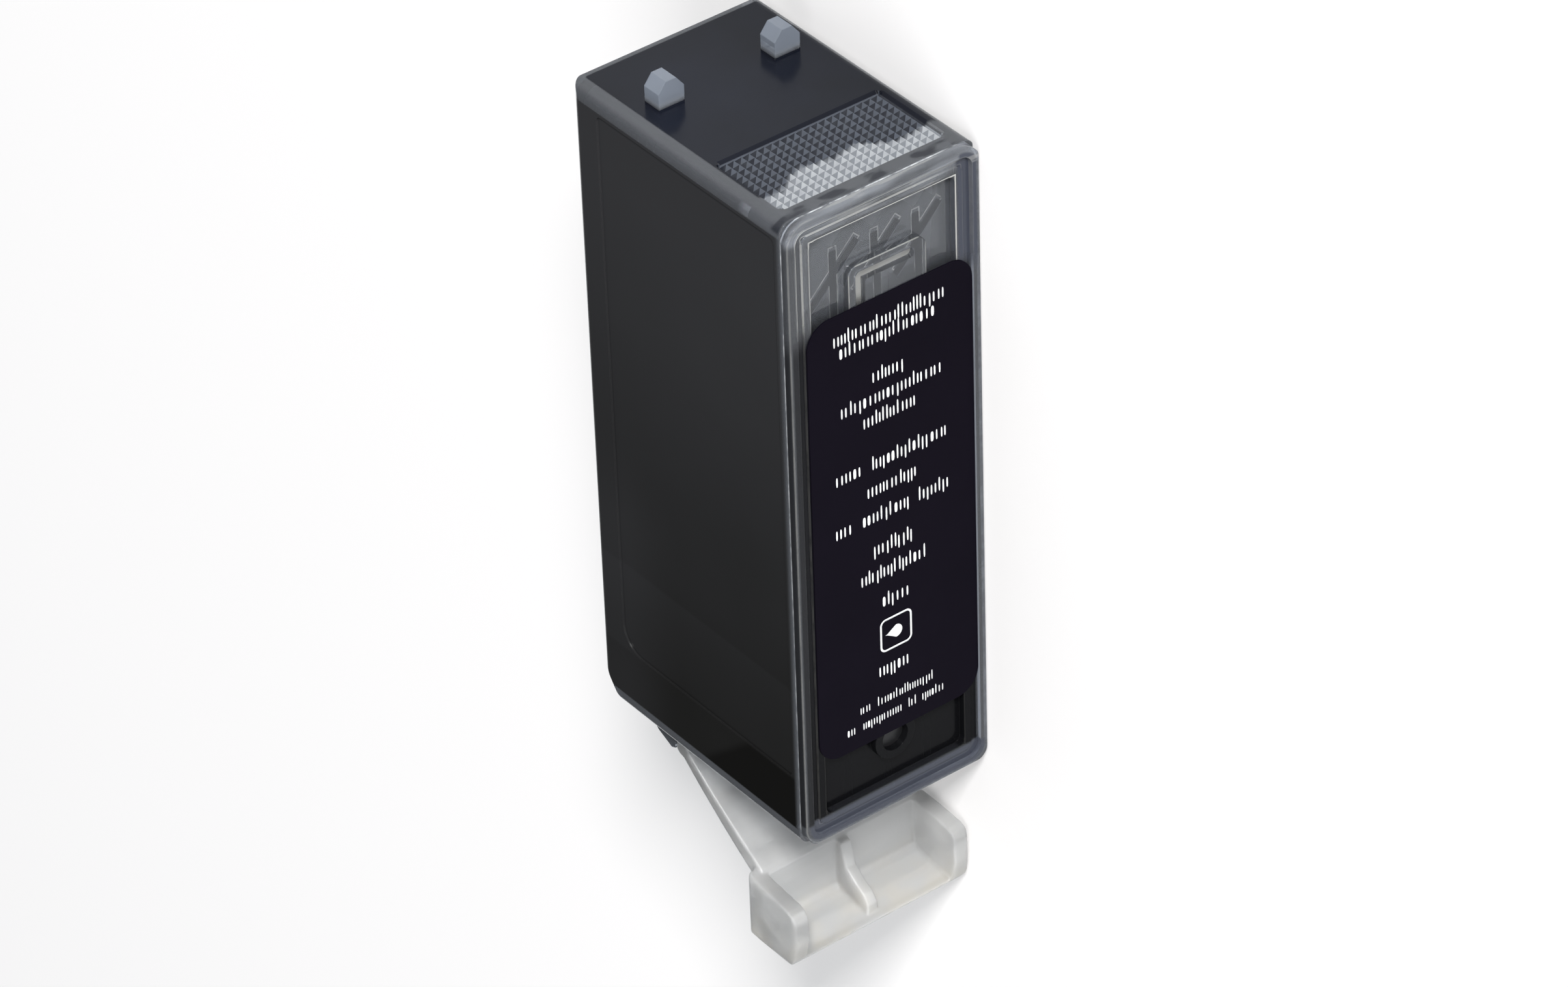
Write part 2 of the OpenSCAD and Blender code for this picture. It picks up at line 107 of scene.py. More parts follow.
class Value:
    """A number in a node tree. Arithmetic on it adds Math nodes."""

    def __init__(self, net, socket):
        self.net, self.socket = net, socket

    def math(self, operation, *others):
        return self.net.add("ShaderNodeMath", {"operation": operation}, dict(enumerate((self, *others))))

    def __add__(self, other):
        return self.math("ADD", other)

    __radd__ = __add__

    def __sub__(self, other):
        return self.math("SUBTRACT", other)

    def __rsub__(self, other):
        return self.net.add("ShaderNodeMath", {"operation": "SUBTRACT"}, {0: other, 1: self})

    def __mul__(self, other):
        return self.math("MULTIPLY", other)

    __rmul__ = __mul__

    def __truediv__(self, other):
        return self.math("DIVIDE", other)

    def __pow__(self, other):
        return self.math("POWER", other)

    def __abs__(self):
        return self.math("ABSOLUTE")

    def least(self, other):
        return self.math("MINIMUM", other)

    def most(self, other):
        return self.math("MAXIMUM", other)

    def ramp(self, low, high):
        """0 below low, 1 above high, and a smooth step between them."""
        return self.net.add(
            "ShaderNodeMapRange",
            {"interpolation_type": "SMOOTHSTEP"},
            {"Value": self, "From Min": low, "From Max": high},
        )

    def band(self, low, high, soft):
        """1 between low and high, fading out over soft on both sides."""
        return self.ramp(low - soft, low) * (1 - self.ramp(high, high + soft))


class Net:
    """A node tree. add() makes a node: settings first, then the values or links of its sockets."""

    def __init__(self, tree):
        self.tree = tree
        tree.nodes.clear()

    def add(self, kind, settings=None, inputs=None, output=0):
        node = self.tree.nodes.new(kind)
        for key, value in (settings or {}).items():
            if key == "stops":
                elements = node.color_ramp.elements
                for element, (place, colour) in zip(elements, (value[0], value[-1])):
                    element.position, element.color = place, (*colour, 1)
                for place, colour in value[1:-1]:
                    elements.new(place).color = (*colour, 1)
            else:
                setattr(node, key, value)
        for key, value in (inputs or {}).items():
            self.plug(value, node.inputs[key])
        return Value(self, node.outputs[output]) if len(node.outputs) else node

    def plug(self, value, socket):
        if isinstance(value, Value):
            self.tree.links.new(value.socket, socket)
        elif hasattr(value, "__len__") and not isinstance(value, str) and len(value) == 3 and socket.type == "RGBA":
            socket.default_value = (*value, 1)
        else:
            socket.default_value = value

    def also(self, value, output):
        """Another output of the node that a value comes from."""
        return Value(self, value.socket.node.outputs[output])


class Finish(Net):
    """A material's node tree, with the pieces that this object's finishes share."""

    def __init__(self, name):
        self.material = bpy.data.materials.new(name)
        self.material.use_nodes = True
        super().__init__(self.material.node_tree)
        self.coords = self.add("ShaderNodeTexCoord", output="Object")

    def place(self):
        """X, Y and Z in millimetres from the tank's own corner."""
        parts = self.add("ShaderNodeSeparateXYZ", inputs={0: self.coords})
        corner = CASE_LOW / MM
        return tuple(self.also(parts, i) * 1000 - corner[i] for i in range(3))

    def stretch(self, scale):
        """Object coordinates multiplied by three numbers."""
        return self.add("ShaderNodeVectorMath", {"operation": "MULTIPLY"}, {0: self.coords, 1: scale})

    def noise(self, per_mm, detail=2.0, roughness=0.5, scale=(1, 1, 1)):
        """Smooth noise from 0 to 1, with so many waves in a millimetre."""
        return self.add(
            "ShaderNodeTexNoise",
            inputs={"Vector": self.stretch(scale), "Scale": per_mm * 1000, "Detail": detail, "Roughness": roughness},
        )

    def cells(self, per_mm, feature="F1", randomness=1.0, scale=(1, 1, 1)):
        return self.add(
            "ShaderNodeTexVoronoi",
            {"feature": feature},
            {"Vector": self.stretch(scale), "Scale": per_mm * 1000, "Randomness": randomness},
        )

    def mix(self, amount, a, b, how="MIX"):
        """Colour a, going over to colour b by amount."""
        return self.add(
            "ShaderNodeMix",
            {"data_type": "RGBA", "blend_type": how},
            {"Factor": amount, 6: a, 7: b},
            output=2,
        )

    def round_edges(self, radius_mm):
        """The normal of a surface whose edges are rounded."""
        return self.add("ShaderNodeBevel", {"samples": 4}, {"Radius": radius_mm * MM})

    def bump(self, height, depth_mm, strength=1.0, normal=None):
        inputs = {"Height": height, "Distance": depth_mm * MM, "Strength": strength}
        if normal:
            inputs["Normal"] = normal
        return self.add("ShaderNodeBump", inputs=inputs)

    def scratches(self, per_mm=0.35):
        """Thin handling marks at two slants, from 0 to 1."""
        long = self.noise(per_mm, 3, 0.6, (1, 0.06, 0.06))
        cross = self.noise(per_mm, 3, 0.6, (0.08, 1, 0.3))
        return (abs(long - 0.5).ramp(0.0, 0.02) * abs(cross - 0.5).ramp(0.0, 0.016)) * -1 + 1

    def surface(self, shader):
        self.add("ShaderNodeOutputMaterial", inputs={"Surface": shader})
        return self.material

    def principled(self, **sockets):
        names = {key.replace("_", " ").title().replace("Ior", "IOR"): value for key, value in sockets.items()}
        return self.add("ShaderNodeBsdfPrincipled", inputs=names)


def dress(node, material):
    """Puts a material on a CAD node."""
    mesh = NODES[node].data
    mesh.materials.clear()
    mesh.materials.append(material)


def baked(name, points, build, material, attributes=None):
    """A plain mesh made by a Geometry Nodes tree. build(net, start, socket) returns the last geometry, and
    attributes gives numbers for each point. The tree's inputs and their values come from build.sizes."""
    mesh = bpy.data.meshes.new(name)
    mesh.from_pydata(points, [], [])
    for key, values in (attributes or {}).items():
        mesh.attributes.new(key, "FLOAT", "POINT").data.foreach_set("value", values)
    source = bpy.data.objects.new(name + "_points", mesh)
    bpy.context.scene.collection.objects.link(source)
    tree = bpy.data.node_groups.new(name + "_tree", "GeometryNodeTree")
    tree.interface.new_socket("Geometry", in_out="INPUT", socket_type="NodeSocketGeometry")
    identifiers = {}
    for key, value in build.sizes.items():
        kind = "NodeSocketInt" if isinstance(value, int) else "NodeSocketFloat"
        identifiers[key] = tree.interface.new_socket(key, in_out="INPUT", socket_type=kind).identifier
    tree.interface.new_socket("Geometry", in_out="OUTPUT", socket_type="NodeSocketGeometry")
    net = Net(tree)
    start = net.add("NodeGroupInput")
    sizes = {key: net.also(start, key) for key in build.sizes}
    made = build(net, start, sizes)
    real = net.add("GeometryNodeRealizeInstances", inputs={"Geometry": made})
    coated = net.add("GeometryNodeSetMaterial", inputs={"Geometry": real, "Material": material})
    net.add("NodeGroupOutput", inputs={0: coated})
    modifier = source.modifiers.new("Nodes", "NODES")
    modifier.node_group = tree
    for key, value in build.sizes.items():
        modifier[identifiers[key]] = value
    evaluated = source.evaluated_get(bpy.context.evaluated_depsgraph_get())
    result = bpy.data.meshes.new_from_object(evaluated)
    result.name = name
    piece = bpy.data.objects.new(name, result)
    bpy.context.scene.collection.objects.link(piece)
    source.modifiers.clear()
    bpy.data.objects.remove(source)
    return piece


def sizes(**values):
    """Names the inputs of the tree that a build function makes."""

    def mark(build):
        build.sizes = values
        return build

    return mark


# What a user would change


def length(name, description, default):
    return FloatProperty(name=name, description=description, default=default, subtype="DISTANCE", unit="LENGTH")


def colour(name, description, default):
    return FloatVectorProperty(
        name=name, description=description, default=default, size=3, min=0, max=1, subtype="COLOR"
    )


class InkTankSizes(bpy.types.PropertyGroup):
    wave: length("Fibre wave", "Rise and fall of the absorber's upper face", 0.6 * MM)
    bead: length("Weld bead", "Radius of the bead along the lid's weld", 0.11 * MM)
    print_t: length("Print thickness", "Thickness of the print on the label", 0.012 * MM)
    letter_h: length("Mark height", "Height of the marks in a main row of the print", 1.15 * MM)
    icon_w: length("Icon width", "Width of the frame round the drop", 3.3 * MM)
    icon_line: length("Icon line", "Width of the line of that frame", 0.2 * MM)
    floor_r: length("Floor radius", "Radius of the studio floor", 3.0)
    rows_seed: IntProperty(name="Row seed", description="Seed for the marks of the print", default=SEED)


class InkTankColours(bpy.types.PropertyGroup):
    case: colour("Case", "Tint of the clear case", (0.60, 0.64, 0.72))
    lid: colour("Lid", "Tint of the clear lid over the air space", (0.85, 0.88, 0.92))
    haze: colour("Haze", "Milky haze in the clear plastic", (0.55, 0.58, 0.64))
    lever: colour("Lever", "Milky plastic of the latch lever", (0.64, 0.635, 0.625))
    label: colour("Label", "Film of the label", (0.0040, 0.0030, 0.0062))
    ink: colour("Print", "Print on the label", (0.88, 0.88, 0.88))
    fibre: colour("Fibre", "Fibre soaked with ink", (0.006, 0.006, 0.007))
    dry_fibre: colour("Dry fibre", "Fibre at the top of the absorber", (0.26, 0.26, 0.265))
    board: colour("Board", "Lacquer of the chip's board", (0.010, 0.085, 0.035))


def user_sizes():
    return bpy.context.scene.ink_tank_sizes


def user_colours():
    return bpy.context.scene.ink_tank_colours


# Plastics


def between(net, amount, first, second):
    """One shader going over to another."""
    return net.add("ShaderNodeMixShader", inputs={"Fac": amount, 1: first, 2: second})


def clear_plastic(net, tint, haze, milk, roughness, gloss=0.5, uneven=0.4):
    """Clear polypropylene: a see-through body with a milky haze and slow flow marks. Its edges look rounded."""
    flow = net.noise(0.12, 3, 0.55, (0.35, 1, 1))
    rough = roughness * (0.8 + flow * uneven)
    normal = net.bump(flow, 0.02, 0.15, net.round_edges(0.12))
    body = net.principled(
        base_color=tint, roughness=rough, ior=1.49, transmission_weight=1.0, specular_ior_level=gloss, normal=normal
    )
    milky = net.principled(base_color=haze, roughness=rough + 0.1, specular_ior_level=gloss, normal=normal)
    return between(net, milk * (1 + (flow - 0.5) * uneven), body, milky)


def backed_plastic(net, tone, roughness, gloss):
    """Clear plastic with something black behind it, such as ink or soaked fibre."""
    flow = net.noise(0.07, 3, 0.5, (0.5, 1, 1))
    rough = roughness + flow * 0.06 + net.scratches() * 0.03
    normal = net.bump(flow, 0.03, 0.25, net.round_edges(0.12))
    return net.principled(base_color=tone, roughness=rough, specular_ior_level=gloss, normal=normal)


def pyramid_shine(net, dry):
    """The pyramids of the rear face: the facets that look towards the lid carry a painted highlight, and the ones
    over the dry air space are pale all over."""
    facing = net.add("ShaderNodeNewGeometry", output="Normal")
    parts = net.add("ShaderNodeSeparateXYZ", inputs={0: facing})
    # Painted highlight: facets whose normal faces the lid get a lighter colour.
    lit = (0 - net.also(parts, "Y")).ramp(0.45, 0.68)
    wet = net.mix(lit, (0.014, 0.016, 0.023), (0.07, 0.08, 0.1))
    pale = net.mix(lit, (0.21, 0.225, 0.245), (0.38, 0.395, 0.41))
    spots = net.noise(1.4, 2)
    tone = net.mix(dry, wet, pale)
    tone = net.mix(spots.ramp(0.3, 0.8) * 0.5, tone, net.mix(dry, (0.05, 0.055, 0.065), (0.24, 0.25, 0.27)))
    return net.principled(base_color=tone, roughness=0.17 + spots * 0.08, specular_ior_level=0.4)


def case_plastic(c):
    """The case: clear at its edges, in the lever's root and in the outlet, milky in the rear tabs, and
    black where the ink and the fibre touch the walls. Painted light lies on that black: a painted reflection
    paler towards the rear, painted shade in the front corner by the lid, and a painted bluish reflection on
    the rear face."""
    net = Finish("case_plastic")
    x, y, z = net.place()
    rear = x.ramp(TANK_L - 1.2, TANK_L - 0.8)
    wave = net.noise(0.3, 3, 0.6, (0.2, 1, 1))
    shore = 4.7 + z.ramp(3.8, 9.5) * 1.5 - z.ramp(13, 18) * 1.1 + (wave - 0.5) * 3
    broad = z.ramp(TANK_W - 1, TANK_W - 0.6).most(1 - z.ramp(0.6, 1))
    top = 1.7 - broad * 0.5 + rear * (shore - 1.7)
    wet = (y - top).ramp(-0.25, 0.45)
    outside = (
        (1 - x.band(1.9, TANK_L - 1.7, 0.5))
        + (1 - y.band(1.0, TANK_H - 0.7, 0.5))
        + (1 - z.band(1.1, TANK_W - 1.5, 0.5))
    )
    full = (1 - outside.ramp(1.2, 1.8)) * wet * (1 - x.ramp(TANK_L + 0.1, TANK_L + 0.2)) * x.ramp(-0.3, -0.1)
    full = full * (1 - y.ramp(TANK_H + 0.1, TANK_H + 0.3))
    blots = net.noise(0.42, 2, 0.5, (1, 1.8, 1)).ramp(0.46, 0.66) * y.band(1.2, 2.0, 0.3) * rear
    full = full.most(blots * 0.7)
    # Painted reflection: the black grows paler towards the rear and at the front away from the lid, with random clouds.
    cloud = net.noise(0.05, 3, 0.5) - 0.5
    lit = x.ramp(5, 24) * 0.35 + x.ramp(20, 60) * 0.65 + x.band(7.2, 16.5, 0.3) * 0.12 + cloud * 0.3
    lit = lit + y.ramp(17, 27) * (1 - x.ramp(14, 34)) * 0.4
    # Painted shade darkens the front corner by the lid.
    painted_front_shade = (1 - (x * 1.17 + y).ramp(15.6, 17.2)) * (1 - x.ramp(6.8, 7.3))
    tone = net.mix(lit, (0.0065, 0.0064, 0.006), (0.027, 0.027, 0.029))
    tone = net.mix(painted_front_shade, tone, (0.0012, 0.0011, 0.0008))
    # Painted reflection: the rear face is painted bluer, as the bluish studio shows in it.
    tone = net.mix(rear, tone, net.mix(net.noise(0.12, 3), (0.002, 0.0025, 0.005), (0.0075, 0.0095, 0.018)))
    tab = x.ramp(TANK_L + 0.1, TANK_L + 0.9)
    haze = net.mix(tab, c.haze, (0.25, 0.28, 0.33))
    clear = clear_plastic(net, c.case, haze, 0.11 + tab * 0.54, 0.1, 0.4, 0.15)
    backed = backed_plastic(net, tone, 0.17, 0.2)
    field = (
        y.band(PYRAMID_Y - 0.1, PYRAMID_Y + PYRAMID_H + 0.1, 0.05)
        * z.band(PYRAMID_Z - 0.1, TANK_W - PYRAMID_Z + 0.1, 0.05)
        * x.band(TANK_L - 0.6, TANK_L + 0.1, 0.05)
    )
    plain = between(net, full, clear, backed)
    return net.surface(between(net, field * 0.9, plain, pyramid_shine(net, 1 - wet)))


def inset_from_edge(x, z):
    """How far inside the lid's rounded outline a point lies, in millimetres."""
    half_l, half_w = TANK_L / 2 - LID_R, TANK_W / 2 - LID_R
    over_x = (abs(x - TANK_L / 2) - half_l).most(0)
    over_z = (abs(z - TANK_W / 2) - half_w).most(0)
    inner = (abs(x - TANK_L / 2) - half_l).most(abs(z - TANK_W / 2) - half_w).least(0)
    return LID_R - (over_x**2 + over_z**2) ** 0.5 - inner


def line(value, at, half, soft=0.03):
    """1 on a line half a width to either side of a value."""
    return value.band(at - half, at + half, soft)


def near_groove(x, z):
    """How far a point lies from the middle of the air groove's rear run and of the run towards the front."""
    past_end = (GROOVE_Z[0] - z).most(z - GROOVE_Z[1]).most(0)
    across = ((x - GROOVE_X) ** 2 + past_end**2) ** 0.5
    along = ((z - GROOVE_Z[1]) ** 2 + (x - GROOVE_X).most(0) ** 2) ** 0.5
    return across.least(along)


def rib_edges(x, y, z):
    """1 along the outline of the ribs and the slanting braces, where they leave the lid's underside."""
    outside = None
    for i in (-1, 0, 1):
        over, past = z - (TANK_W / 2 + i * RIB_PITCH), x - BRACE_X
        along, across = abs(past - over) * 0.5**0.5, abs(past + over) * 0.5**0.5
        brace = (along - BRACE_HALF).most(across - RIB_HALF)
        rib = (abs(over) - RIB_HALF).most(x - RIB_REAR)
        both = brace.least(rib)
        outside = both if outside is None else outside.least(both)
    return line(outside, 0, 0.05) * y.band(LID_UNDER - 0.05, LID_UNDER + 0.12, 0.04)


def painted_lid_highlights(net, x, y, z, edge):
    """Painted highlights: pale lines where the lid's steps, the land's edges, the air groove and the outlines
    of the ribs and braces catch the light, brightest at the rear and thin elsewhere, with pale streaks at the rear end."""
    broken = net.noise(0.4, 3, 0.65).ramp(0.25, 0.55)
    rear = x.ramp(LABEL_REAR_X - 1, LABEL_REAR_X + 1)
    low = 1 - z.ramp(3, 6)
    left = z.ramp(TANK_W - 4, TANK_W - 2)
    recess = line(edge, DISH_INSET, 0.055) * y.band(SEAT_Y - 0.05, SEAT_Y + 0.08, 0.03)
    recess = recess * (rear * (0.75 - left * 0.35) + 0.02)
    channel = line(edge, 1.75, 0.03) * (rear * 0.4 + left * 0.06) * (1 - low * 0.8)
    rim = line(edge, 0.9, 0.035) * rear * (0.4 - low * 0.3) + line(edge, 0.14, 0.04) * left * 0.12
    # Painted highlight in streaks along the rear end.
    painted_rear_streaks = net.noise(1.4, 2, 0.6, (1, 0.6, 0.06)).ramp(0.56, 0.64) * x.ramp(TANK_L - 2.5, TANK_L - 2.2) * 0.2
    shelf = line(z, LAND_Z[0], 0.04).most(line(z, LAND_Z[1], 0.04)) * (1 - x.ramp(LAND_X, LAND_X + 0.05))
    shelf = shelf.most(line(x, LAND_X, 0.04) * z.band(LAND_Z[0], LAND_Z[1], 0.05)) * y.band(SEAT_Y - 0.05, SEAT_Y + 0.1, 0.03)
    groove = (1 - near_groove(x, z).ramp(0.4, 0.5)) * y.band(SEAT_Y + 0.1, SEAT_Y + 0.6, 0.05)
    steps = (recess + channel + rim) * (0.45 + broken * 0.55)
    steps = steps.most(rib_edges(x, y, z) * broken * 0.5)
    return steps.most(painted_rear_streaks).most(shelf * rear * 0.35).most(groove * rear * 0.42)


def lid_plastic(c):
    """The lid: dark over the ink and beside the label, with a painted reflection paler towards the rear, clear over
    the air at its rear end, and painted dark along its lower side and front end, a painted reflection of the dark
    inside. Its ribs and braces are painted darker as shade, and painted highlights lie along its steps and edges."""
    net = Finish("lid_plastic")
    x, y, z = net.place()
    edge = inset_from_edge(x, z)
    window = x.ramp(LABEL_REAR_X - 2.5, LABEL_REAR_X + 0.5)
    front = 1 - x.ramp(2.2, 2.6)
    left = z.ramp(TANK_W - 3, TANK_W - 2.5)
    rim = left * edge.ramp(0.2, 0.4).most(y.band(0.2, 0.7, 0.15)) * 0.8
    inside = edge.ramp(0.95, 1.2).most(rim) * (1 - front)
    # Painted reflection: the dark over the ink grows paler towards the rear.
    tone = net.mix(x.ramp(0, 30), (0.0025, 0.0025, 0.003), (0.008, 0.008, 0.0095))
    tint = net.mix(inside * window, c.case, c.lid)
    streaks = net.noise(0.3, 3, 0.6, (1, 1, 0.2)).ramp(0.42, 0.66) * x.ramp(TANK_L - 2.4, TANK_L - 1.4)
    clear = clear_plastic(net, tint, c.haze, 0.08 + streaks * 0.2, 0.03, 0.3, 0.3)
    # Painted shade on the ribs and braces under the lid; painted reflection of the dark inside along the lower side and
    # the front end.
    under = y.ramp(LID_UNDER + 0.02, LID_UNDER + 0.08)
    strip = ((1 - z.ramp(2.1, 2.5)) * window).most(front * 0.9) * edge.ramp(0.3, 0.6)
    painted_dark_tone = net.mix(under, (0.05, 0.055, 0.074), (0.009, 0.011, 0.016))
    painted_dark_plastic = net.principled(base_color=painted_dark_tone, roughness=0.15, specular_ior_level=0.2)
    plain = between(net, (under * 0.95).most(strip * 0.9), clear, painted_dark_plastic)
    backed = backed_plastic(net, tone, 0.17, 0.05)
    plain = between(net, inside * (1 - window) * 0.96, plain, backed)
    # Painted highlight: the pale colour of those lines.
    pale = net.principled(base_color=(0.62, 0.61, 0.57), roughness=0.2)
    return net.surface(between(net, painted_lid_highlights(net, x, y, z, edge), plain, pale))


def lever_plastic(c):
    """The lever: milky and soft inside, warmer towards its lower corner, and darker near its root, a painted shadow of
    the tank.
    """
    net = Finish("lever_plastic")
    x, y, z = net.place()
    painted_root_shadow = x.ramp(-11, -3)
    cloud = net.noise(0.35, 1, 0.5)
    warm = (1 - x.ramp(-16.5, -11)) * cloud.ramp(0.3, 0.7)
    haze = net.mix(warm, c.lever, tuple(v * w for v, w in zip(c.lever, (1.08, 1.04, 0.96))))
    # Painted shadow: the blade is darker near its root, where the tank shades it.
    haze = net.mix(painted_root_shadow, haze, tuple(v * 0.62 for v in c.lever))
    streaks = net.noise(0.3, 2, 0.5, (1, 1, 0.2)).ramp(0.35, 0.7)
    rough = 0.32 + cloud * 0.08
    body = net.principled(base_color=(0.9, 0.92, 0.94), roughness=rough, ior=1.49, transmission_weight=1.0)
    milky = net.principled(
        base_color=haze,
        roughness=rough,
        subsurface_weight=1.0,
        subsurface_radius=(1, 1, 1),
        subsurface_scale=1.0 * MM,
    )
    return net.surface(between(net, 0.6 - streaks * 0.28, body, milky))


def moulded(node, name, material, body, voxel, rounds):
    """A copy of a CAD node whose edges are eased as a mould eases them. It stands for the node."""
    mesh = NODES[node].data.copy()
    closed = bmesh.new()
    closed.from_mesh(mesh)
    bmesh.ops.remove_doubles(closed, verts=closed.verts, dist=0.001 * MM)
    closed.to_mesh(mesh)
    closed.free()
    piece = bpy.data.objects.new(name, mesh)
    bpy.context.scene.collection.objects.link(piece)
    grid = piece.modifiers.new("Grid", "REMESH")
    grid.mode, grid.voxel_size, grid.use_smooth_shade = "VOXEL", voxel, True
    ease = piece.modifiers.new("Ease", "SMOOTH")
    ease.factor, ease.iterations = 0.5, rounds
    shaped = piece.evaluated_get(bpy.context.evaluated_depsgraph_get())
    piece.data = bpy.data.meshes.new_from_object(shaped)
    piece.modifiers.clear()
    piece.data.name = name
    piece.data.materials.clear()
    piece.data.materials.append(material)
    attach(piece, body)
    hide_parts(node)


class INKTANK_OT_plastics(bpy.types.Operator):
    """Gives the case, the lid and the lever their moulded plastic"""

    bl_idname = "ink_tank.plastics"
    bl_label = "Case, lid and lever"

    def execute(self, context):
        c = user_colours()
        dress("tank_body", case_plastic(c))
        dress("lid", lid_plastic(c))
        moulded("latch_lever", "latch_lever_soft", lever_plastic(c), "lever", 0.14 * MM, 10)
        return {"FINISHED"}


# What is inside


def fibre(name, wet, dry, lit):
    """Matted fibre: crossing strands with dark gaps between them, drier towards the lid."""
    net = Finish(name)
    x, y, z = net.place()
    strands = net.noise(1.1, 4, 0.65, (0.25, 1, 1)) + net.noise(1.1, 4, 0.65, (1, 1, 0.25))
    mat = (strands * 0.5).ramp(0.3, 0.7)
    dryness = (1 - y.ramp(6.2, 7.4)) * lit
    blotch = net.noise(0.16, 3, 0.55)
    tone = net.mix(dryness * (0.6 + blotch * 0.6 + mat * 0.05), wet, dry)
    normal = net.bump(mat, 0.15, 0.8 - 0.72 * lit)
    return net.surface(net.principled(base_color=tone, roughness=0.95 - mat * 0.2, specular_ior_level=0.25, normal=normal))


def roughened(net, shape, uneven, lift=0.0):
    """A shape with its skin pushed in by uneven amounts, and lifted along Y."""
    spot = net.add("GeometryNodeInputPosition")
    fine = net.add("ShaderNodeTexNoise", inputs={"Vector": spot, "Scale": 1600.0, "Detail": 2.0})
    out = net.add("GeometryNodeInputNormal")
    pressed = net.add("ShaderNodeVectorMath", {"operation": "SCALE"}, {0: out, "Scale": (fine - 1.0) * uneven})
    shift = net.add("ShaderNodeCombineXYZ", inputs={"X": 0.0, "Y": lift, "Z": 0.0})
    whole = net.add("ShaderNodeVectorMath", {"operation": "ADD"}, {0: shift, 1: pressed})
    return net.add("GeometryNodeSetPosition", inputs={"Geometry": shape, "Offset": whole})


def fibre_block(name, low, high, material, wave, step=0.6 * MM):
    """A block of matted fibre: a fine box whose upper face waves and whose sides are slightly uneven."""
    size = high - low
    counts = [max(2, round(side / step)) for side in size]

    @sizes(Wave=wave, Uneven=0.03 * MM)
    def build(net, start, size_in):
        box = net.add(
            "GeometryNodeMeshCube",
            inputs={"Size": size, "Vertices X": counts[0], "Vertices Y": counts[1], "Vertices Z": counts[2]},
        )
        moved = net.add("GeometryNodeTransform", inputs={"Geometry": box, "Translation": (low + high) / 2})
        spot = net.add("GeometryNodeInputPosition")
        part = net.add("ShaderNodeSeparateXYZ", inputs={0: spot})
        swell = net.add("ShaderNodeTexNoise", inputs={"Vector": spot, "Scale": 110.0, "Detail": 1.0})
        near_top = 1 - net.also(part, "Y").ramp(low.y, low.y + 3 * wave + 1e-6)
        return roughened(net, moved, size_in["Uneven"], (swell - 0.45) * size_in["Wave"] * 3 * near_top)

    return baked(name, [(0, 0, 0)], build, material)


def fibre_rod(name, low, high, material):
    """A short round rod of matted fibre that stands along Y."""

    @sizes(Radius=(high.x - low.x) / 2, Depth=high.y - low.y, Uneven=0.08 * MM)
    def build(net, start, size_in):
        rod = net.add(
            "GeometryNodeMeshCylinder",
            inputs={"Vertices": 72, "Side Segments": 8, "Fill Segments": 12, "Radius": size_in["Radius"], "Depth": size_in["Depth"]},
        )
        turned = net.add(
            "GeometryNodeTransform",
            inputs={"Geometry": rod, "Rotation": (math.pi / 2, 0, 0), "Translation": (low + high) / 2},
        )
        return roughened(net, turned, size_in["Uneven"])

    return baked(name, [(0, 0, 0)], build, material)


class INKTANK_OT_absorbers(bpy.types.Operator):
    """Makes the fibre absorbers and the wick, and finishes the ink and the plug"""

    bl_idname = "ink_tank.absorbers"
    bl_label = "Absorbers, wick, ink and plug"

    def execute(self, context):
        c, s = user_colours(), user_sizes()
        dry = fibre("dry_fibre", c.fibre, c.dry_fibre, 1.0)
        wet = fibre("wet_fibre", c.fibre, c.dry_fibre, 0.0)
        pieces = {
            "upper_absorber": fibre_block("upper_absorber_fibre", *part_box("upper_absorber"), dry, s.wave),
            "lower_absorber": fibre_block("lower_absorber_fibre", *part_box("lower_absorber"), wet, 0.0),
            "outlet_wick": fibre_rod("outlet_wick_fibre", *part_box("outlet_wick"), wet),
        }
        for node, piece in pieces.items():
            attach(piece, "tank")
            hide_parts(node)
            "dry_foam" if node == "upper_absorber" else "wet_foam"
        net = Finish("black_ink")
        film = net.noise(0.3, 2)
        dress("ink_charge", net.surface(net.principled(base_color=(0.004, 0.004, 0.005), roughness=0.08 + film * 0.1, ior=1.36)))
        net = Finish("plug_plastic")
        tone = net.mix(net.noise(0.8, 3), (0.006, 0.006, 0.007), (0.012, 0.012, 0.013))
        dress("fill_plug", net.surface(net.principled(base_color=tone, roughness=0.35 + net.noise(2, 2) * 0.1)))
        return {"FINISHED"}


# Label

# The rows of the print: distance from the front face, middle across the tank, and the widths of the
# marks in the row, in millimetres. They stand for text, and say nothing.
ROWS = (
    (51.86, 9.84, (12.0,), 1),
    (50.44, 10.09, (10.3,), 1),
    (46.52, 9.98, (3.7,), 1),
    (44.33, 9.9, (10.7,), 1),
    (42.2, 9.95, (5.9,), 1),
    (37.57, 9.93, (3.0, 8.2), 1),
    (34.83, 9.92, (5.5,), 1),
    (32.04, 9.85, (2.0, 5.2, 3.6), 1),
    (28.48, 9.94, (4.4,), 1),
    (25.83, 9.94, (7.3,), 1),
    (22.68, 9.94, (2.8,), 1),
    (15.3, 10.05, (3.7,), 1),
    (12.09, 10.06, (1.3, 6.1), 0.7),
    (10.31, 10.1, (1.1, 4.4, 0.9, 2.6), 0.7),
)
# The marks: width in millimetres, and lower and upper end as shares of half a mark's height.
MARKS = (
    (0.16, -1, 0.75),
    (0.16, -1, 0.75),
    (0.16, -1, 0.75),
    (0.17, -1, 0.7),
    (0.16, -1, 1.5),
    (0.3, -1, 0.75),
    (0.16, -1.6, 0.75),
)
MARK_GAPS = (0.2, 0.27, 0.27, 0.38)
ICON_X = 18.88
ICON_Z = 9.96


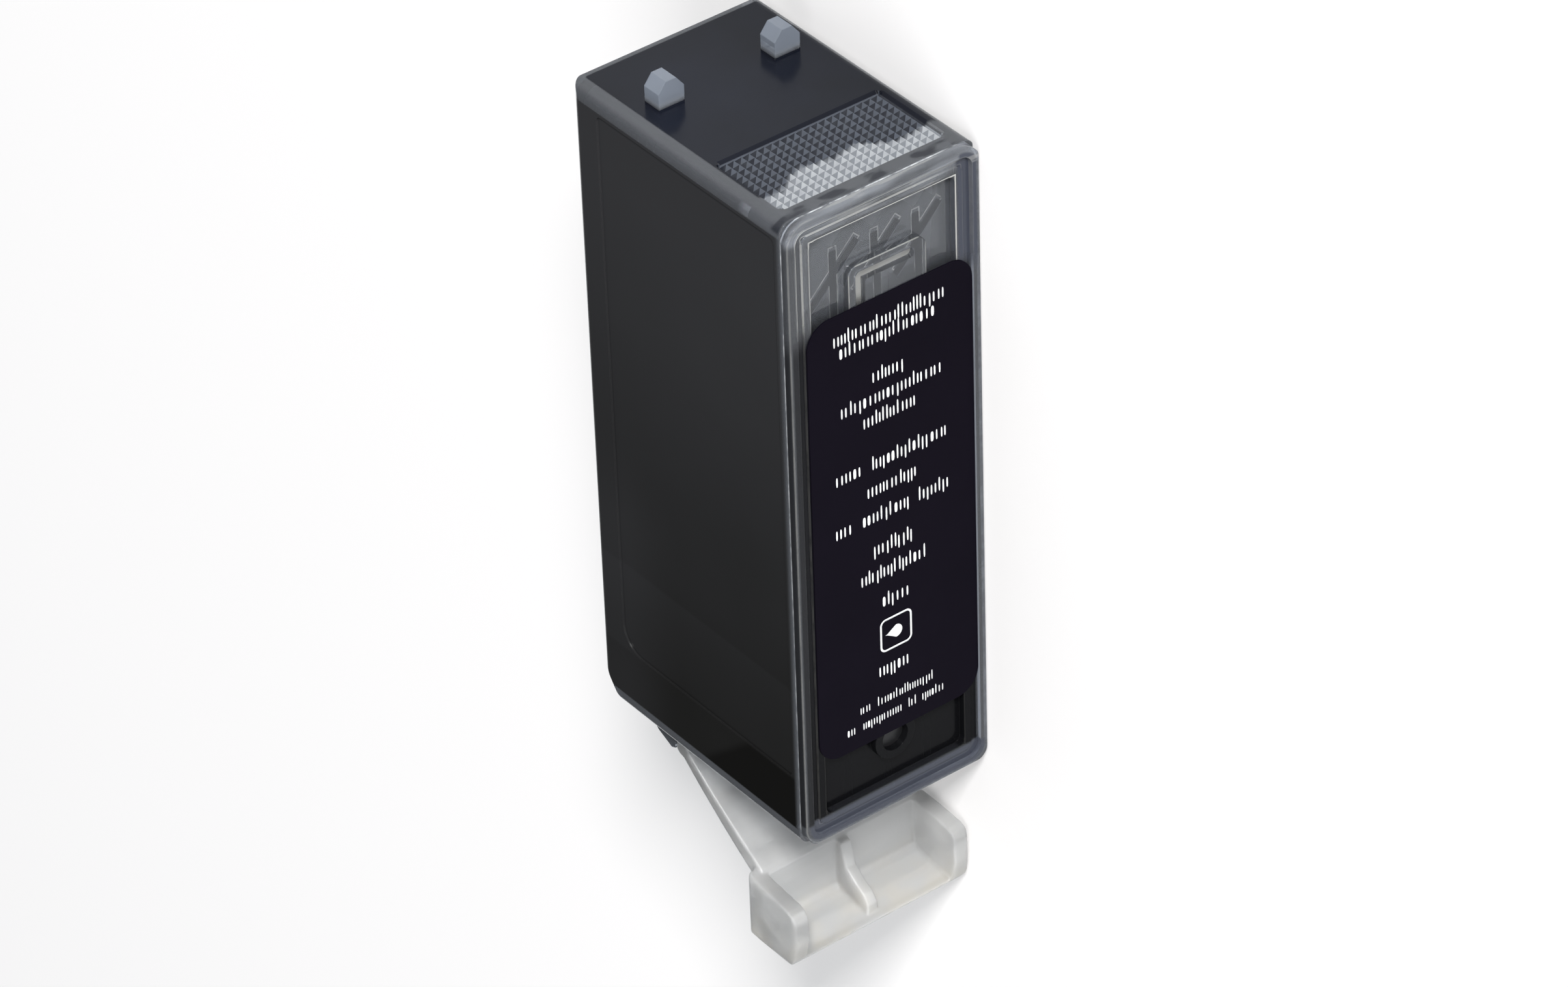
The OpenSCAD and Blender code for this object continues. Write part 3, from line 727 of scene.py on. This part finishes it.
def label_film():
    """Black satin film with a fine grain."""
    net = Finish("label_film")
    grain = net.noise(5, 2)
    wide = net.noise(0.15, 2)
    c = user_colours()
    tone = net.mix(wide, c.label, tuple(v * 1.35 for v in c.label))
    rough = 0.34 + grain * 0.06 + net.scratches(0.5) * 0.1
    return net.surface(net.principled(base_color=tone, roughness=rough, specular_ior_level=0.02, normal=net.bump(grain, 0.004, 0.4)))


def print_ink():
    net = Finish("label_print")
    tone = net.mix(net.noise(1.5, 3).ramp(0.55, 0.8), user_colours().ink, (0.62, 0.62, 0.63))
    return net.surface(net.principled(base_color=tone, roughness=0.5 + net.noise(4, 2) * 0.1))


def mark_points(seed, height):
    """The middle, the width and the height of each mark. A row is split into words, and a word into
    marks that are drawn by chance."""
    chance = random.Random(seed)
    points, widths, heights = [], [], []
    low = height / MM / 2
    for x, z, words, scale in ROWS:
        blank = 0.9 * scale
        left = z + (sum(words) + blank * (len(words) - 1)) / 2
        for word in words:
            at, end = left, left - word
            while at - end > 0.15 * scale:
                width, base, top = chance.choice(MARKS)
                gap = chance.choice(MARK_GAPS)
                width = min(at - end, scale * width)
                spot = tank(x + (base + top) / 2 * low * scale, 0, at - width / 2)
                points.append((spot.x, LABEL_LOW.y, spot.z))
                widths.append(width * MM)
                heights.append((top - base) * low * scale * MM)
                at -= width + gap * scale
            left = end - blank
    return points, widths, heights


class INKTANK_OT_label(bpy.types.Operator):
    """Finishes the label and prints rows of plain marks and a drop on it"""

    bl_idname = "ink_tank.label"
    bl_label = "Label and its print"

    def execute(self, context):
        s = user_sizes()
        ink = print_ink()
        dress("top_label", label_film())
        points, widths, heights = mark_points(s.rows_seed, s.letter_h)

        @sizes(Thickness=s.print_t, Rounding=0.3)
        def marks(net, start, size_in):
            outline = net.add("GeometryNodeCurvePrimitiveQuadrilateral", inputs={"Width": 1.0, "Height": 1.0})
            soft = net.add("GeometryNodeFilletCurve", {"mode": "POLY"}, {"Curve": outline, "Count": 2, "Radius": size_in["Rounding"]})
            face = net.add("GeometryNodeFillCurve", {"mode": "NGONS"}, {"Curve": soft})
            flat = net.add("GeometryNodeTransform", inputs={"Geometry": face, "Rotation": (math.pi / 2, 0, 0)})
            wide = net.add("GeometryNodeInputNamedAttribute", {"data_type": "FLOAT"}, {"Name": "wide"})
            high = net.add("GeometryNodeInputNamedAttribute", {"data_type": "FLOAT"}, {"Name": "high"})
            scale = net.add("ShaderNodeCombineXYZ", inputs={"X": high, "Y": 1.0, "Z": wide})
            dots = net.add("GeometryNodeMeshToPoints", inputs={"Mesh": start})
            placed = net.add("GeometryNodeInstanceOnPoints", inputs={"Points": dots, "Instance": flat, "Scale": scale})
            real = net.add("GeometryNodeRealizeInstances", inputs={"Geometry": placed})
            plate = net.add(
                "GeometryNodeExtrudeMesh",
                inputs={"Mesh": real, "Offset": (0, -1, 0), "Offset Scale": size_in["Thickness"], "Individual": False},
            )
            return plate

        rows = baked("label_rows", points, marks, ink, {"wide": widths, "high": heights})
        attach(rows, "tank")
        centre = tank(ICON_X, 0, ICON_Z)

        @sizes(Width=s.icon_w, Line=s.icon_line, Thickness=s.print_t)
        def icon(net, start, size_in):
            outline = net.add(
                "GeometryNodeCurvePrimitiveQuadrilateral",
                inputs={"Width": size_in["Width"], "Height": size_in["Width"]},
            )
            soft = net.add("GeometryNodeFilletCurve", {"mode": "POLY"}, {"Curve": outline, "Count": 8, "Radius": size_in["Width"] * 0.16})
            profile = net.add(
                "GeometryNodeCurvePrimitiveQuadrilateral",
                inputs={"Width": size_in["Line"], "Height": size_in["Thickness"]},
            )
            ring = net.add("GeometryNodeCurveToMesh", inputs={"Curve": soft, "Profile Curve": profile})
            disc = net.add("GeometryNodeCurvePrimitiveCircle", inputs={"Resolution": 32, "Radius": size_in["Width"] * 0.2})
            spot = net.add("GeometryNodeInputPosition")
            part = net.add("ShaderNodeSeparateXYZ", inputs={0: spot})
            reach = (net.also(part, "Y") / (size_in["Width"] * 0.2)).most(0)
            pull = net.add("ShaderNodeCombineXYZ", inputs={"X": net.also(part, "X") * reach * -1, "Y": reach * size_in["Width"] * 0.16, "Z": 0.0})
            drop = net.add("GeometryNodeSetPosition", inputs={"Geometry": disc, "Offset": pull})
            filled = net.add("GeometryNodeFillCurve", {"mode": "NGONS"}, {"Curve": drop})
            plate = net.add(
                "GeometryNodeExtrudeMesh",
                inputs={"Mesh": filled, "Offset": (0, 0, 1), "Offset Scale": size_in["Thickness"], "Individual": False},
            )
            both = net.add("GeometryNodeJoinGeometry")
            for one in (plate, ring):
                net.tree.links.new(one.socket, both.socket.node.inputs[0])
            turned = net.add("GeometryNodeTransform", inputs={"Geometry": both, "Rotation": (math.pi / 2, 0, 0), "Translation": (centre.x, LABEL_LOW.y, centre.z)})
            return turned

        sign = baked("label_drop", [(0, 0, 0)], icon, ink)
        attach(sign, "tank")
        return {"FINISHED"}


# Weld


class INKTANK_OT_weld(bpy.types.Operator):
    """Runs the bead of the weld round the tank, between its case and its lid"""

    bl_idname = "ink_tank.weld"
    bl_label = "Weld bead"

    def execute(self, context):
        s, c = user_sizes(), user_colours()
        net = Finish("weld_bead")
        beads = net.noise(0.5, 3, 0.7)
        x, y, z = net.place()
        # Painted highlight: the bead is pale at the rear end and faintly along the upper broad side, and dimmer
        # elsewhere.
        shown = x.ramp(TANK_L - 6, TANK_L - 1).most(z.ramp(TANK_W - 3, TANK_W - 1) * x.ramp(0, 50) * 0.2)
        bright = net.mix(beads.ramp(0.35, 0.7) * (0.25 + shown * 0.75), (0.1, 0.105, 0.115), (0.66, 0.67, 0.68))
        material = net.surface(net.principled(base_color=bright, roughness=0.15 + beads * 0.1))
        inset = s.bead * 1.15
        middle = tank(TANK_L / 2, LID_EDGE, TANK_W / 2)

        @sizes(Length=TANK_L * MM - 2 * inset, Width=TANK_W * MM - 2 * inset, Corner=LID_R * MM - inset, Bead=s.bead)
        def bead(net, start, size_in):
            outline = net.add(
                "GeometryNodeCurvePrimitiveQuadrilateral", inputs={"Width": size_in["Length"], "Height": size_in["Width"]}
            )
            soft = net.add("GeometryNodeFilletCurve", {"mode": "POLY"}, {"Curve": outline, "Count": 10, "Radius": size_in["Corner"]})
            fine = net.add("GeometryNodeResampleCurve", {"mode": "LENGTH"}, {"Curve": soft, "Length": 0.4 * MM})
            spot = net.add("GeometryNodeInputPosition")
            swell = net.add("ShaderNodeTexNoise", inputs={"Vector": spot, "Scale": 420.0, "Detail": 2.0})
            round_ = net.add("GeometryNodeCurvePrimitiveCircle", inputs={"Resolution": 10, "Radius": size_in["Bead"]})
            uneven = net.add("GeometryNodeSetCurveRadius", inputs={"Curve": fine, "Radius": swell * 0.6 + 0.55})
            tube = net.add("GeometryNodeCurveToMesh", inputs={"Curve": uneven, "Profile Curve": round_})
            return net.add(
                "GeometryNodeTransform",
                inputs={"Geometry": tube, "Rotation": (math.pi / 2, 0, 0), "Translation": middle},
            )

        piece = baked("weld_bead", [(0, 0, 0)], bead, material)
        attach(piece, "tank")
        return {"FINISHED"}


# Chip


class INKTANK_OT_chip(bpy.types.Operator):
    """Finishes the contact chip: board, gold pads, lamp and potting"""

    bl_idname = "ink_tank.chip"
    bl_label = "Contact chip"

    def execute(self, context):
        c = user_colours()
        net = Finish("board_lacquer")
        weave = net.cells(3.0, "DISTANCE_TO_EDGE", 0.2).ramp(0.02, 0.06)
        tone = net.mix(weave, tuple(v * 0.7 for v in c.board), c.board)
        dress("chip_board", net.surface(net.principled(base_color=tone, roughness=0.3 + net.noise(2) * 0.1, normal=net.bump(weave, 0.01, 0.3))))
        net = Finish("gold_plate")
        brushed = net.noise(2.0, 3, 0.6, (1, 1, 0.1))
        tone = net.mix(brushed, (0.72, 0.50, 0.20), (0.90, 0.70, 0.34))
        dress("chip_contacts", net.surface(net.principled(base_color=tone, metallic=1.0, roughness=0.2 + brushed * 0.15)))
        net = Finish("lamp_lens")
        dress("chip_led", net.surface(net.principled(base_color=net.mix(net.noise(1.5), (0.80, 0.76, 0.58), (0.9, 0.88, 0.75)), roughness=0.15)))
        net = Finish("potting_resin")
        dress("chip_potting", net.surface(net.principled(base_color=net.mix(net.noise(1.0), (0.008, 0.008, 0.009), (0.015, 0.015, 0.016)), roughness=0.4)))
        return {"FINISHED"}


# Studio

CAMERA_AT = Vector((360.261, -392.071, 302.904)) * MM
CAMERA_RIGHT = Vector((-0.02895936, -0.61536418, -0.78771078))
CAMERA_UP = Vector((0.80406937, 0.45381775, -0.3840858))
CAMERA_LENS = 160.27
# The studio is dark behind the object, which keeps the upper broad side black.
DARK_END = (-0.594, 0.644, 0.482)


def area_light(name, at, aim, size, watts, tint=(1, 1, 1)):
    data = bpy.data.lights.new(name, "AREA")
    data.shape, data.size, data.size_y = "RECTANGLE", size[0], size[1]
    data.energy, data.color = watts, tint
    lamp = bpy.data.objects.new(name, data)
    lamp.location = at
    lamp.rotation_mode = "QUATERNION"
    lamp.rotation_quaternion = (Vector(aim) - Vector(at)).to_track_quat("-Z", "Y")
    bpy.context.scene.collection.objects.link(lamp)


def shown_white(net, light, seen):
    """1 for the rays that see a white background, 0 for those that carry light."""
    path = net.add("ShaderNodeLightPath", output="Is Camera Ray")
    rays = path.most(net.also(path, "Is Glossy Ray")).most(net.also(path, "Is Transmission Ray"))
    return net.add("ShaderNodeMixShader", inputs={"Fac": rays * seen, 1: light, 2: net.add("ShaderNodeEmission", inputs={"Color": (1, 1, 1), "Strength": 1.0})})


class INKTANK_OT_stage(bpy.types.Operator):
    """Sets up the white studio, its lights and the camera"""

    bl_idname = "ink_tank.stage"
    bl_label = "Studio"

    def execute(self, context):
        scene = context.scene
        net = Finish("studio_floor")
        seen = net.add("ShaderNodeLightPath", output="Is Camera Ray")
        grain = net.noise(0.02, 2)
        tone = net.mix(seen, net.mix(grain, (0.8, 0.8, 0.8), (0.84, 0.84, 0.84)), (1, 0.975, 0.96))
        paper = net.principled(base_color=tone, roughness=0.9, specular_ior_level=0.1)
        material = net.surface(shown_white(net, paper, 0.16))
        mesh = bpy.data.meshes.new("floor")
        r, steps = user_sizes().floor_r, 64
        ring = [(r * math.cos(2 * math.pi * i / steps), r * math.sin(2 * math.pi * i / steps), 0) for i in range(steps)]
        mesh.from_pydata(ring, [], [tuple(range(steps))])
        mesh.materials.append(material)
        floor = bpy.data.objects.new("floor", mesh)
        scene.collection.objects.link(floor)

        world = bpy.data.worlds.new("studio_air")
        world.use_nodes = True
        scene.world = world
        air = Net(world.node_tree)
        path = air.add("ShaderNodeLightPath", output="Is Camera Ray")
        rays = path.most(air.also(path, "Is Glossy Ray")).most(air.also(path, "Is Transmission Ray"))
        spot = air.add("ShaderNodeTexCoord", output="Generated")
        facing = air.add("ShaderNodeVectorMath", {"operation": "DOT_PRODUCT"}, {0: spot, 1: DARK_END}, output="Value")
        shade = facing.ramp(0.1, 0.8) * air.also(path, "Is Glossy Ray")
        dim = air.add("ShaderNodeBackground", inputs={"Color": (0.9, 0.95, 1.0), "Strength": 0.41})
        bright = air.add("ShaderNodeBackground", inputs={"Color": (1, 1, 1), "Strength": 1 - shade * 0.9})
        mixed = air.add("ShaderNodeMixShader", inputs={"Fac": rays, 1: dim, 2: bright})
        air.add("ShaderNodeOutputWorld", inputs={"Surface": mixed})

        aim = (CAD_BOX[0] + CAD_BOX[1]) / 2
        area_light("key", (1.5, -1.03, 0.83), aim, (0.4, 0.4), 46)
        area_light("fill", (-0.3, -1.25, 1.55), aim, (1.4, 1.0), 12.6)

        data = bpy.data.cameras.new("camera")
        data.lens, data.sensor_width, data.clip_start, data.clip_end = CAMERA_LENS, 36, 0.01, 20
        camera = bpy.data.objects.new("camera", data)
        back = CAMERA_RIGHT.cross(CAMERA_UP)
        turn = Matrix((CAMERA_RIGHT, CAMERA_UP, back)).transposed().to_4x4()
        camera.matrix_world = Matrix.Translation(CAMERA_AT) @ turn
        scene.collection.objects.link(camera)
        scene.camera = camera
        scene.view_settings.view_transform = "Standard"
        return {"FINISHED"}


# Sidebar

OPERATORS = (
    INKTANK_OT_plastics,
    INKTANK_OT_absorbers,
    INKTANK_OT_label,
    INKTANK_OT_weld,
    INKTANK_OT_chip,
    INKTANK_OT_stage,
)


class INKTANK_PT_sidebar(bpy.types.Panel):
    """Lists the steps that dress the ink tank"""

    bl_idname = "INKTANK_PT_sidebar"
    bl_label = "Ink Tank"
    bl_space_type = "VIEW_3D"
    bl_region_type = "UI"
    bl_category = "Ink Tank"

    def draw(self, context):
        for operator in OPERATORS:
            self.layout.operator(operator.bl_idname)
        for group in (context.scene.ink_tank_sizes, context.scene.ink_tank_colours):
            box = self.layout.box()
            for name in group.bl_rna.properties.keys():
                if name not in {"rna_type", "name"}:
                    box.prop(group, name)


CLASSES = (InkTankSizes, InkTankColours, *OPERATORS, INKTANK_PT_sidebar)


def register():
    for cls in CLASSES:
        bpy.utils.register_class(cls)
    bpy.types.Scene.ink_tank_sizes = PointerProperty(type=InkTankSizes)
    bpy.types.Scene.ink_tank_colours = PointerProperty(type=InkTankColours)


def unregister():
    del bpy.types.Scene.ink_tank_colours
    del bpy.types.Scene.ink_tank_sizes
    for cls in reversed(CLASSES):
        bpy.utils.unregister_class(cls)


def main():
    register()
    for operator in OPERATORS:
        group, name = operator.bl_idname.split(".")
        getattr(getattr(bpy.ops, group), name)()


if __name__ == "__main__":
    main()
